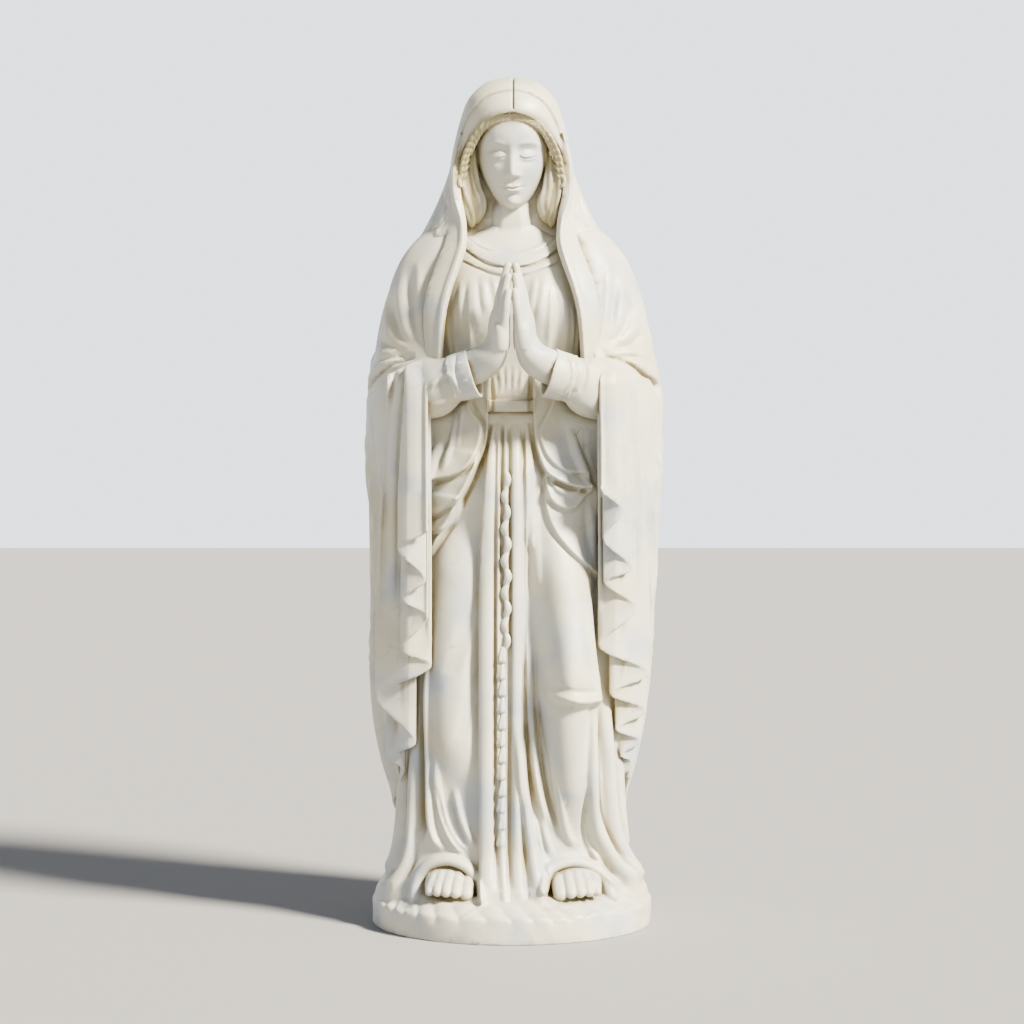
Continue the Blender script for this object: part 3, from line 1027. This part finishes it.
def hair(side, sign):
    def mirrored(path):
        return [(sign * x, y, z) for x, y, z in path]

    forms = []
    for k in range(3):
        drop, back = 0.0048 * k, 0.0012 * k
        roll = [
            (-0.001, -0.0985 + back, 1.6120 - drop), (0.030, -0.0955 + back, 1.6075 - drop),
            (0.056, -0.0850 + back, 1.5930 - drop), (0.0750 - 0.3 * drop, -0.0710 + back, 1.5710 - drop),
            (0.0880 - 0.4 * drop, -0.0570 + back, 1.5440 - drop),
        ]
        forms.append(limb(
            f"roll_{side}_{k}", mirrored(roll), [0.0036, 0.0042, 0.0050, 0.0056, 0.0050],
            [0.0040, 0.0046, 0.0052, 0.0056, 0.0050], bulge=twisted(7 + 2 * k, 0.0017),
        ))
    edge = spline([
        (0.062, -0.083, 1.592), (0.079, -0.070, 1.571), (0.0915, -0.060, 1.546), (0.0990, -0.052, 1.520),
        (0.1020, -0.047, 1.493),
    ], 9)
    for k, (x, y, z) in enumerate(edge):
        slim = (0.55, 0.80)[k] if k < 2 else 1.0
        for lane, size in ((0.0, slim), (0.0065, 0.8 * slim)):
            strand = [
                (x - 0.011 - lane, y + 0.004, z + 0.012), (x - 0.003 - lane, y - 0.004, z),
                (x + 0.004 - lane, y + 0.001, z - 0.015),
            ]
            forms.append(limb(
                f"strand_{side}_{k}", mirrored(strand), [0.0026 * size, 0.0046 * size, 0.0022 * size],
                [0.0034 * size, 0.0056 * size, 0.0028 * size], up=(0, -1, 0),
            ))
    curl = [(0.101, -0.050, 1.497), (0.104, -0.054, 1.484), (0.101, -0.056, 1.474), (0.096, -0.052, 1.478)]
    forms.append(limb(
        f"curl_{side}", mirrored(curl), [0.0044, 0.0048, 0.0042, 0.0030], [0.0044, 0.0048, 0.0042, 0.0030]
    ))

    def grooved(turn, v):
        return 0.0012 * np.cos(6 * turn + 7 * v) * smooth(1.0, 0.8, v)

    for k, (path, girth) in enumerate(LOBES):
        forms.append(limb(f"lobe_{side}_{k}", mirrored(path), girth, girth, up=(0, -1, 0), bulge=grooved))
    return forms


# ---------------------------------------------------------------- veil and border
# The mantle is drawn up over the head as a hood. Its edge stands clear of the brow, marked with an engraved
# line down the middle and another round the crown, and runs on below as a flat border down the breast to the
# forearms.

VEIL_WALL = 0.013
VEIL_GRAIN = 0.0016
VEIL_TOP = 1.693
VEIL_HEM_Z = 1.235
BROW_EDGE_Z = 1.616
BORDER_WALL = 0.0165
VEIL_HALF_WIDTH = profile(
    (1.22, 0.212), (1.30, 0.200), (1.345, 0.184), (1.375, 0.1715), (1.39, 0.164), (1.43, 0.146),
    (1.47, 0.131), (1.51, 0.118), (1.55, 0.111), (1.593, 0.101), (1.633, 0.089), (1.653, 0.079),
    (1.673, 0.060), (1.685, 0.040), (1.693, 0.003),
)
VEIL_BACK = profile(
    (1.22, 0.194), (1.30, 0.184), (1.34, 0.172), (1.40, 0.154), (1.50, 0.124), (1.60, 0.108), (1.65, 0.090),
    (1.678, 0.058), (1.693, 0.003),
)
VEIL_FRONT = profile(
    (1.25, 0.115), (1.34, 0.104), (1.38, 0.091), (1.42, 0.084), (1.47, 0.078), (1.50, 0.078), (1.57, 0.095),
    (1.61, 0.108), (1.64, 0.099), (1.665, 0.073), (1.682, 0.042), (1.693, 0.003),
)
VEIL_OPENING = profile(
    (1.25, 0.62), (1.34, 0.66), (1.38, 0.69), (1.42, 0.76), (1.47, 0.84), (1.52, 0.87), (1.555, 0.80),
    (1.585, 0.62), (1.605, 0.36), (1.616, 0.0),
)
CROWN_LINE = [
    (-0.116, 1.505), (-0.111, 1.536), (-0.103, 1.570), (-0.087, 1.611), (-0.063, 1.641), (-0.035, 1.656),
    (0.001, 1.662), (0.035, 1.656), (0.067, 1.635), (0.091, 1.594), (0.103, 1.556),
]
BORDER_OUTER = [
    (0.0950, -0.030, 1.580), (0.1075, -0.026, 1.540), (0.1135, -0.022, 1.500), (0.1160, -0.028, 1.455),
    (0.119, -0.046, 1.405), (0.126, -0.072, 1.360), (0.140, -0.094, 1.32), (0.160, -0.112, 1.262),
    (0.167, -0.120, 1.205), (0.160, -0.130, 1.12),
]
BORDER_INNER = [
    (0.0935, -0.040, 1.580), (0.1040, -0.045, 1.540), (0.1085, -0.051, 1.500), (0.1065, -0.058, 1.455),
    (0.094, -0.072, 1.405), (0.091, -0.100, 1.360), (0.100, -0.122, 1.32), (0.119, -0.137, 1.262),
    (0.131, -0.144, 1.205), (0.137, -0.148, 1.12),
]


def veil_edge(z):
    return math.pi - np.arcsin(np.where(z > BROW_EDGE_Z, -0.05, np.clip(VEIL_OPENING(z), -0.05, 1)))


def veil_hem(turn):
    return VEIL_HEM_Z + 0.140 * smooth(0.5, 1.45, np.abs(turn)) + 0.004 * np.sin(9 * turn)


def veil_section(turn, z):
    x, y = oval(turn + math.pi, VEIL_HALF_WIDTH(z), VEIL_FRONT(z), VEIL_BACK(z), 2.0)
    return -x, y + 0.005


def veil():
    """The hood's sheet, and the stone left standing inside it behind the head."""

    def place(u, v):
        w = 2 * u - 1
        eased = 1 - (1 - v) ** 1.7
        turn = w * veil_edge(VEIL_HEM_Z + (VEIL_TOP - VEIL_HEM_Z) * eased)
        z = veil_hem(turn) + (VEIL_TOP - veil_hem(turn)) * eased
        turn = w * veil_edge(z)
        x, y = veil_section(turn, z)
        low = smooth(1.56, 1.34, z)
        back = smooth(2.4, 1.9, np.abs(turn))
        swell = 0.045 * low * back * (np.cos(9 * turn + 0.6) + 0.6 * np.cos(14 * turn))
        side_fold = (
            smooth(1.45, 1.62, np.abs(turn)) * smooth(2.30, 2.05, np.abs(turn)) * smooth(1.50, 1.43, z)
        )
        swell += 0.011 * side_fold * np.sin(26 * np.abs(turn) + 30 * (z - 1.36))
        return points(
            x * (1 + swell), (y - 0.005) * (1 + swell) + 0.005, z + 0.3 * swell * (z - 1.45) * (z > 1.55)
        )

    sheet = cloth("veil_sheet", int(0.85 / VEIL_GRAIN), int(0.56 / VEIL_GRAIN), place, VEIL_WALL)

    def core(turn, z):
        front = 0.02 * smooth(1.69, 1.5, z) + 0.008 * smooth(1.46, 1.40, z) + 0.052 * smooth(1.385, 1.325, z)
        return oval(turn, VEIL_HALF_WIDTH(z) - 0.004, front, VEIL_BACK(z) - 0.002, 2.0)

    stone = body_form("veil_stone", 1.28, 1.675, core, lambda x, z, turn: np.zeros(x.shape), grain=0.004)
    return [sheet, stone]


def border(side, sign):
    outer, inner = spline(BORDER_OUTER, 60), spline(BORDER_INNER, 60)
    share = np.linspace(0, 1, 60)

    def at(line, v):
        return np.stack([np.interp(v, share, line[:, k]) for k in range(3)], axis=-1)

    def place(u, v):
        band = at(outer, v) * (1 - u)[:, None] + at(inner, v) * u[:, None]
        band[:, 1] -= (
            0.0040 * smooth(0.78, 0.86, u) + 0.0022 * np.sin(math.pi * u) + 0.0010 * np.sin(9 * v + 2 * u)
        )
        band[:, 0] *= sign
        return band

    return cloth(f"border_{side}", 26, int(0.45 / VEIL_GRAIN), place, BORDER_WALL)


# Each row: path of (x, z) points, width, height
VEIL_MARKS = [
    ([(0.003, 1.618), (0.003, 1.640), (0.003, 1.665), (0.003, 1.700)], 0.0024, -0.0058),
    (CROWN_LINE, 0.0034, -0.0072),
]
# Given for one side and cut on both: small curling leaves on the hood where it spreads over the shoulder
LEAF_MARKS = [
    ([(0.156, 1.388), (0.141, 1.400), (0.131, 1.420), (0.128, 1.446)], 0.0042, -0.0026),
    ([(0.146, 1.384), (0.135, 1.396), (0.126, 1.412)], 0.0038, -0.0022),
    ([(0.163, 1.392), (0.149, 1.412), (0.139, 1.438), (0.133, 1.466)], 0.0042, -0.0026),
    ([(0.150, 1.394), (0.137, 1.410), (0.1295, 1.432)], 0.0032, 0.0020),
]
# Given for one side and cut on both
COLLAR_MARKS = [
    ([(-0.020, 1.338), (0.035, 1.341), (0.064, 1.352), (0.090, 1.374)], 0.0026, -0.0030),
    ([(-0.020, 1.3075), (0.034, 1.311), (0.066, 1.326), (0.096, 1.349)], 0.0026, -0.0040),
    ([(-0.020, 1.289), (0.030, 1.292), (0.064, 1.306), (0.096, 1.321)], 0.0022, -0.0030),
]
GOWN_MARKS = [
    ([(-0.050, 1.0485), (0.000, 1.0488), (0.044, 1.0485)], 0.0026, -0.0040),
    ([(-0.050, 1.0212), (0.000, 1.0208), (0.044, 1.0212)], 0.0026, -0.0045),
    ([(-0.107, 1.137), (-0.108, 1.101), (-0.101, 1.073), (-0.092, 1.058)], 0.0032, -0.0024),
    ([(-0.156, 1.070), (-0.140, 1.087), (-0.124, 1.095), (-0.114, 1.089), (-0.106, 1.070)], 0.0070, 0.0030),
    ([(-0.152, 1.060), (-0.138, 1.078), (-0.124, 1.085), (-0.115, 1.079), (-0.108, 1.064)], 0.0045, -0.0022),
    ([(-0.154, 1.034), (-0.130, 1.043), (-0.104, 1.052)], 0.0075, 0.0030),
    ([(0.102, 1.133), (0.110, 1.115), (0.112, 1.092), (0.104, 1.070), (0.094, 1.056)], 0.0032, -0.0026),
    ([(0.120, 1.135), (0.131, 1.112), (0.130, 1.086), (0.120, 1.064)], 0.0080, 0.0030),
    ([(0.128, 1.134), (0.141, 1.108), (0.140, 1.084), (0.130, 1.060)], 0.0050, -0.0028),
    ([(0.096, 1.051), (0.113, 1.043), (0.140, 1.030), (0.165, 1.015)], 0.0028, -0.0024),
]
MANTLE_MARKS = [
    ([(-0.290, 1.050), (-0.279, 1.077), (-0.263, 1.093), (-0.237, 1.114), (-0.213, 1.125), (-0.186, 1.132)],
     0.0050, -0.0080),
    ([(-0.262, 1.126), (-0.229, 1.132), (-0.190, 1.135)], 0.0044, -0.0030),
    ([(0.290, 1.052), (0.281, 1.082), (0.258, 1.097), (0.230, 1.118), (0.204, 1.128), (0.178, 1.133)],
     0.0045, -0.0070),
    ([(0.252, 1.130), (0.227, 1.133), (0.203, 1.132)], 0.0044, -0.0030),
]


# ---------------------------------------------------------------- one block
# Everything above is one stone. The forms of each region are run together at that region's fineness, thinned
# where the surface is plain, and united into a single closed skin that fills the block's own box.


def outer_skin(form):
    """Drops anything that is not joined to the form's topmost point."""
    let_go()
    form.select_set(True)
    bpy.context.view_layer.objects.active = form
    bpy.ops.object.mode_set(mode="EDIT")
    bpy.ops.mesh.select_all(action="DESELECT")
    bpy.ops.object.mode_set(mode="OBJECT")
    form.data.vertices[int(coordinates(form)[:, 2].argmax())].select = True
    bpy.ops.object.mode_set(mode="EDIT")
    bpy.ops.mesh.select_mode(type="VERT")
    bpy.ops.mesh.select_linked()
    bpy.ops.mesh.select_all(action="INVERT")
    bpy.ops.mesh.delete(type="VERT")
    bpy.ops.object.mode_set(mode="OBJECT")


def carve(name, forms, fineness, triangles, one_piece=True, marks=(), mirrored_marks=()):
    """Runs forms together into one skin of about so many triangles, with fine lines scored into it."""
    let_go()
    for form in forms:
        form.select_set(True)
    bpy.context.view_layer.objects.active = forms[0]
    bpy.ops.object.join()
    region = bpy.context.object
    region.name = name
    finish_with(region, "REMESH", mode="VOXEL", voxel_size=fineness)
    if one_piece:
        outer_skin(region)
    finish_with(region, "SMOOTH", factor=0.35, iterations=1)
    score(region, marks, mirrored_marks)
    quads = len(region.data.polygons)
    finish_with(region, "DECIMATE", ratio=min(1.0, triangles / (2 * quads)))
    return region


def normals_of(form):
    flat = np.empty(3 * len(form.data.vertices))
    form.data.vertex_normals.foreach_get("vector", flat)
    return flat.reshape(-1, 3)


def score(region, marks, mirrored_marks=()):
    """Cuts or raises lines, given as (x, z) paths, on the side of a region that faces forward."""
    places, ways = coordinates(region), normals_of(region)
    ahead = (ways[:, 1] < 0.1) & (places[:, 1] < 0.02)
    x, z = places[ahead, 0], places[ahead, 2]
    rise = np.zeros(len(x))
    for path, width, height in marks:
        rise += fold(x, z, path, width, height, ends=0.08)
    for path, width, height in mirrored_marks:
        rise += fold(np.abs(x), z, path, width, height, ends=0.08)
    rise *= smooth(0.1, -0.35, ways[ahead, 1])
    places[ahead] += ways[ahead] * rise[:, None]
    move_points(region, places)


def unite(stone, region):
    finish_with(stone, "BOOLEAN", operation="UNION", object=region, solver="MANIFOLD")
    bpy.data.objects.remove(region)


def fit_to_box(stone, low, high):
    places = coordinates(stone)
    start, end = places.min(axis=0), places.max(axis=0)
    places = np.array(low) + (places - start) / (end - start) * (np.array(high) - np.array(low))
    places[places[:, 2] < low[2] + 0.0015, 2] = low[2]
    move_points(stone, places)


gown_forms = [base(), body_form("gown", 0.03, 1.40, gown_section, gown_relief, crowd=0.3, grain=0.0022)]
mantle_forms = [mantle(), inner_cloth()]
mantle_forms.append(hanging_edge("hanging_left", LEFT_HEM_TURNS, LEFT_HANGING_FOLDS))
mantle_forms.append(hanging_edge("hanging_right", RIGHT_HEM_TURNS, RIGHT_HANGING_FOLDS))
veil_forms = veil()
head_forms = head()
hand_forms = []
foot_forms = foot("right", -1, -0.121, -0.143) + foot("left", 1, 0.127, -0.145)
for side, sign in (("right", -1), ("left", 1)):
    gown_forms += sleeve(side, sign)
    hand_forms += hand(side, sign)
    head_forms += hair(side, sign)
    veil_forms.append(border(side, sign))

stone = carve("praying_madonna_marble", mantle_forms, fineness=0.0024, triangles=50000, marks=MANTLE_MARKS)
unite(stone, carve(
    "gown_region", gown_forms, fineness=0.0020, triangles=58000, one_piece=False,
    marks=GOWN_MARKS, mirrored_marks=COLLAR_MARKS,
))
unite(stone, carve(
    "veil_region", veil_forms, fineness=0.0015, triangles=30000, one_piece=False,
    marks=VEIL_MARKS, mirrored_marks=LEAF_MARKS,
))
unite(stone, carve("head_region", head_forms, fineness=0.0010, triangles=44000))
unite(stone, carve("hand_region", hand_forms, fineness=0.0009, triangles=11000, one_piece=False))
unite(stone, carve("foot_region", foot_forms, fineness=0.0011, triangles=7000, one_piece=False))
unite(stone, carve("frill_region", frill(), fineness=0.0010, triangles=7000, one_piece=False))
outer_skin(stone)
fit_to_box(stone, *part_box("madonna"))
finish_with(stone, "TRIANGULATE")
let_go()
stone.select_set(True)
bpy.context.view_layer.objects.active = stone
bpy.ops.object.shade_smooth_by_angle(angle=math.radians(62))


# ---------------------------------------------------------------- marble
# White marble, rubbed smooth and then weathered out of doors: a waxy cream body with cool grey clouds and
# fine veins, and ochre grime where water and dust stay, which is under the hood, over the hair and in every
# fold.

# Each row: path of (x, y, z) points along one side's hair, how far its grime reaches, how strong it is
HAIR_GRIME = [
    ([(0.000, -0.097, 1.609), (0.030, -0.094, 1.604), (0.056, -0.084, 1.590), (0.077, -0.070, 1.567),
      (0.090, -0.058, 1.542), (0.098, -0.052, 1.515), (0.102, -0.050, 1.485)], 0.015, 1.0),
    ([(0.083, -0.040, 1.550), (0.087, -0.044, 1.500), (0.082, -0.046, 1.460), (0.075, -0.044, 1.428),
      (0.073, -0.036, 1.400)], 0.021, 0.8),
]


def shelter(stone, reach=0.055, rays=20, cling=0.010):
    """How closed-in each point is, near by and wider round: the share of short rays that meet stone again."""
    skin = stone.data
    places, normals = coordinates(stone), normals_of(stone)
    corners = np.empty(3 * len(skin.polygons), int)
    skin.polygons.foreach_get("vertices", corners)
    tree = BVHTree.FromPolygons(places.tolist(), corners.reshape(-1, 3).tolist())
    # The rays fan out from each point, turned by the golden angle from one to the next
    k = np.arange(rays) + 0.5
    lift, spin = np.sqrt(1 - k / rays), math.pi * (1 + 5**0.5) * k
    local = np.column_stack([np.sqrt(1 - lift**2) * np.cos(spin), np.sqrt(1 - lift**2) * np.sin(spin), lift])
    helper = np.where(np.abs(normals[:, 2:]) < 0.9, np.array([[0, 0, 1.0]]), np.array([[1.0, 0, 0]]))
    side = np.cross(helper, normals)
    side /= np.linalg.norm(side, axis=1)[:, None]
    up = np.cross(normals, side)
    start = places + 0.0012 * normals
    near, wide = np.zeros(len(places)), np.zeros(len(places))
    for a, b, c in local:
        ways = a * side + b * up + c * normals
        gaps = np.full(len(places), reach)
        cast = tree.ray_cast
        for i, (begin, way) in enumerate(zip(start.tolist(), ways.tolist())):
            hit = cast(begin, way, reach)[3]
            if hit is not None:
                gaps[i] = hit
        near += np.exp(-gaps / cling) * (gaps < reach)
        wide += 1 - gaps / reach
    return near / rays, wide / rays


def even_out(values, stone, rounds):
    """Spreads values over neighbouring points."""
    ends = np.empty(2 * len(stone.data.edges), int)
    stone.data.edges.foreach_get("vertices", ends)
    ends = ends.reshape(-1, 2)
    links = np.bincount(ends.ravel(), minlength=len(values))
    for _ in range(rounds):
        total = np.bincount(ends[:, 0], values[ends[:, 1]], len(values))
        total += np.bincount(ends[:, 1], values[ends[:, 0]], len(values))
        values = 0.5 * values + 0.5 * total / np.maximum(links, 1)
    return values


def paint(stone, name, values):
    layer = stone.data.attributes.new(name, "FLOAT", "POINT")
    layer.data.foreach_set("value", values.astype(np.float32))


def on_hair(places):
    """How much each point lies on the hair, fading out beyond it."""
    share = np.zeros(len(places))
    for path, width, strength in HAIR_GRIME:
        line = spline(path, 40)
        close = (places[:, 2] > line[:, 2].min() - 2 * width) & (places[:, 1] < 0.0)
        there = np.column_stack([np.abs(places[close, 0]), places[close, 1:]])
        gap = np.linalg.norm(there[:, None] - line[None], axis=2).min(axis=1)
        share[close] = np.maximum(share[close], strength * np.exp(-((gap / width) ** 2)))
    return share


near, wide = shelter(stone)
paint(stone, "crevice", even_out(near, stone, 1))
paint(stone, "shelter", even_out(wide, stone, 2))
paint(stone, "hair", on_hair(coordinates(stone)))


def linear(shade):
    """An sRGB hex colour as linear values."""
    parts = [int(shade[k : k + 2], 16) / 255 for k in (1, 3, 5)]
    return [p / 12.92 if p <= 0.04045 else ((p + 0.055) / 1.055) ** 2.4 for p in parts] + [1.0]


def add_node(tree, kind, links=(), **settings):
    """Adds a node. Settings name its properties or inputs, and links pair an input with another's output."""
    node = tree.nodes.new(kind)
    for name, value in settings.items():
        if hasattr(node, name):
            setattr(node, name, value)
        else:
            node.inputs[name.replace("_", " ")].default_value = value
    for place, output in links:
        tree.links.new(output, node.inputs[place])
    return node


def weathered_marble():
    """Marble rubbed to a soft sheen, a little translucent, with faint tool marks and grime."""
    material = bpy.data.materials.new("weathered_white_marble")
    material.use_nodes = True
    tree = material.node_tree
    shader = tree.nodes["Principled BSDF"]
    place = add_node(tree, "ShaderNodeTexCoord").outputs["Object"]

    def noise(size, detail=3.0, warp=0.0):
        """Soft patches about so many millimetres across."""
        patches = add_node(
            tree, "ShaderNodeTexNoise", [("Vector", place)],
            Scale=1000.0 / size, Detail=detail, Distortion=warp,
        )
        return patches.outputs["Fac"]

    def ramp(value, low, high, start=0.0, end=1.0):
        node = add_node(tree, "ShaderNodeMapRange", [("Value", value)], interpolation_type="SMOOTHSTEP")
        node.inputs["From Min"].default_value = low
        node.inputs["From Max"].default_value = high
        node.inputs["To Min"].default_value = start
        node.inputs["To Max"].default_value = end
        return node.outputs["Result"]

    def maths(operation, first, second):
        node = add_node(tree, "ShaderNodeMath", operation=operation)
        for socket, value in zip(node.inputs, (first, second)):
            if isinstance(value, float):
                socket.default_value = value
            else:
                tree.links.new(value, socket)
        return node.outputs[0]

    def tint(below, shade, share):
        """Lays a share of one more shade over a colour."""
        node = add_node(tree, "ShaderNodeMix", data_type="RGBA")
        tree.links.new(share, node.inputs[0])
        if isinstance(below, str):
            node.inputs[6].default_value = linear(below)
        else:
            tree.links.new(below, node.inputs[6])
        node.inputs[7].default_value = linear(shade)
        return node.outputs[2]

    crevice = add_node(tree, "ShaderNodeAttribute", attribute_name="crevice").outputs["Fac"]
    on_the_hair = add_node(tree, "ShaderNodeAttribute", attribute_name="hair").outputs["Fac"]
    closed_in = add_node(tree, "ShaderNodeAttribute", attribute_name="shelter").outputs["Fac"]

    # Clouds 125 mm across, veins 250 mm apart, specks of 3 mm
    colour = tint("#B1AEA0", "#8E969E", ramp(noise(125.0, 5.0, 0.6), 0.44, 0.70, 0.0, 0.85))
    colour = tint(colour, "#ADA27C", ramp(noise(200.0, 4.0, 0.3), 0.47, 0.72, 0.0, 0.60))
    vein = ramp(maths("ABSOLUTE", maths("SUBTRACT", noise(250.0, 8.0, 1.4), 0.5), 0.0), 0.014, 0.0, 0.0, 0.45)
    colour = tint(colour, "#8C8E8E", maths("MULTIPLY", vein, ramp(noise(333.3), 0.45, 0.65)))
    stain = maths("MULTIPLY", ramp(closed_in, 0.12, 0.46), ramp(noise(90.9, 5.0), 0.25, 0.70, 0.45, 1.0))
    colour = tint(colour, "#82754C", maths("MULTIPLY", stain, 0.78))
    on_hair_patches = maths("MULTIPLY", on_the_hair, ramp(noise(16.67, 3.0), 0.2, 0.7, 0.75, 1.1))
    colour = tint(colour, "#7C7040", ramp(on_hair_patches, 0.05, 0.75, 0.0, 0.80))
    crevice_patches = maths("MULTIPLY", crevice, ramp(noise(25.0, 4.0), 0.2, 0.7, 0.6, 1.15))
    colour = tint(colour, "#6A5D38", ramp(crevice_patches, 0.10, 0.42, 0.0, 0.66))
    speck = maths(
        "MULTIPLY", ramp(noise(3.03, 2.0), 0.68, 0.76), ramp(noise(71.43, 3.0), 0.50, 0.68, 0.0, 0.55)
    )
    colour = tint(colour, "#77705C", speck)
    tree.links.new(colour, shader.inputs["Base Color"])

    # Rubbed calcite, dulled by weather to a satin and rougher in the grime, with light sinking in a few
    # millimetres
    rough = ramp(noise(38.46, 4.0), 0.3, 0.7, 0.42, 0.56)
    tree.links.new(maths("ADD", rough, maths("MULTIPLY", crevice, 0.3)), shader.inputs["Roughness"])
    shader.inputs["IOR"].default_value = 1.49
    shader.inputs["Subsurface Weight"].default_value = 0.08
    shader.inputs["Subsurface Radius"].default_value = (0.010, 0.008, 0.006)
    shader.inputs["Subsurface Scale"].default_value = 1.0

    grit = add_node(tree, "ShaderNodeBump", [("Height", noise(2.381, 3.0))], Strength=0.10, Distance=0.0006)
    tooling = add_node(
        tree, "ShaderNodeBump", [("Height", noise(18.18, 3.0)), ("Normal", grit.outputs["Normal"])],
        Strength=0.22, Distance=0.0020,
    )
    tree.links.new(tooling.outputs["Normal"], shader.inputs["Normal"])
    return material


stone.data.materials.clear()
stone.data.materials.append(weathered_marble())
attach(stone, "root")
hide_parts("madonna")


# ---------------------------------------------------------------- setting
# A plain pale floor, a soft warm lamp from the upper right front, a pale sky all round, and a long lens at
# the height of the waist.

let_go()
bpy.ops.mesh.primitive_plane_add(size=30)
floor = bpy.context.object
floor.name = "pale_floor"
matt = bpy.data.materials.new("matt_pale_floor")
matt.use_nodes = True
matt.node_tree.nodes["Principled BSDF"].inputs["Base Color"].default_value = linear("#7E7E80")
matt.node_tree.nodes["Principled BSDF"].inputs["Roughness"].default_value = 0.8
floor.data.materials.append(matt)

lamp = bpy.data.lights.new("key", "SUN")
lamp.energy = 31.5
lamp.angle = math.radians(11)
lamp.color = linear("#FFF5E0")[:3]
key = bpy.data.objects.new("key", lamp)
towards = np.array([0.68, -0.45, 0.66])
key.rotation_euler = (
    math.acos(towards[2] / np.linalg.norm(towards)), 0, math.atan2(towards[1], towards[0]) + math.pi / 2
)
bpy.context.scene.collection.objects.link(key)

# The sky is brightest along the horizon, where it stands behind the statue, and dimmer overhead
sky = bpy.data.worlds.new("pale_sky")
sky.use_nodes = True
way_up = add_node(sky.node_tree, "ShaderNodeTexCoord").outputs["Generated"]
height = add_node(sky.node_tree, "ShaderNodeSeparateXYZ", [("Vector", way_up)]).outputs["Z"]
glow = add_node(sky.node_tree, "ShaderNodeMapRange", [("Value", height)], interpolation_type="SMOOTHSTEP")
for setting, value in (("From Min", 0.18), ("From Max", 0.55), ("To Min", 3.0), ("To Max", 0.12)):
    glow.inputs[setting].default_value = value
backdrop = sky.node_tree.nodes["Background"]
backdrop.inputs["Color"].default_value = linear("#E6EAF0")
sky.node_tree.links.new(glow.outputs["Result"], backdrop.inputs["Strength"])
bpy.context.scene.world = sky

SUBJECT_DISTANCE = 5.0
EYE_HEIGHT = 1.0
FIELD = 2.064
FIELD_CENTRE_Z = 0.8225
lens = bpy.data.cameras.new("viewer")
lens.sensor_width = 36
lens.lens = lens.sensor_width * SUBJECT_DISTANCE / FIELD
lens.shift_y = (FIELD_CENTRE_Z - EYE_HEIGHT) / FIELD
viewer = bpy.data.objects.new("viewer", lens)
viewer.location = (0, -SUBJECT_DISTANCE, EYE_HEIGHT)
viewer.rotation_euler = (math.pi / 2, 0, 0)
bpy.context.scene.collection.objects.link(viewer)
bpy.context.scene.camera = viewer
